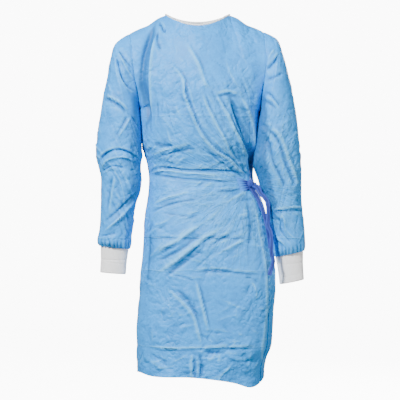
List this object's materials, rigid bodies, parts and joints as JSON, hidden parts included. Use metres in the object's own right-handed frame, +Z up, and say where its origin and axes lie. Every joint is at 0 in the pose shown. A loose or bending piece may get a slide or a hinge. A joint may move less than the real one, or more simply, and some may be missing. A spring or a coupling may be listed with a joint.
{
  "type": "surgical gown",
  "caption": "Wrap-around surgical gown of blue nonwoven cloth, worn and filled out, with set-in sleeves, knitted cuffs, a bound neck and waist ties knotted at the wearer's left.",
  "frame": {"origin": "between the shoulders, in the middle of the neck opening at the height of its front edge, where the wearer holds the gown up", "axes": "+Z up, -Y out of the gown's front, +X towards the wearer's left"},
  "size_m": [0.5894, 0.278, 1.0572],
  "materials": {
    "gown_cloth": "light blue nonwoven cloth, matte with a faint sheen",
    "cuff_knit": "white ribbed knit, matte",
    "neck_strip": "white woven strip, matte",
    "tie_cloth": "darker blue nonwoven tape, folded, matte"
  },
  "bodies": {
    "root": {"front": "gown_cloth", "back_inner": "gown_cloth", "back_outer": "gown_cloth", "sleeve_right": "gown_cloth", "sleeve_left": "gown_cloth", "cuff_right": "cuff_knit", "cuff_left": "cuff_knit", "neck_binding": "neck_strip", "neck_tab": "neck_strip", "tie_front": "tie_cloth", "tie_wrap": "tie_cloth", "tie_knot": "tie_cloth", "tie_tail_long": "tie_cloth", "tie_tail_short": "tie_cloth"}
  },
  "joints": []
}
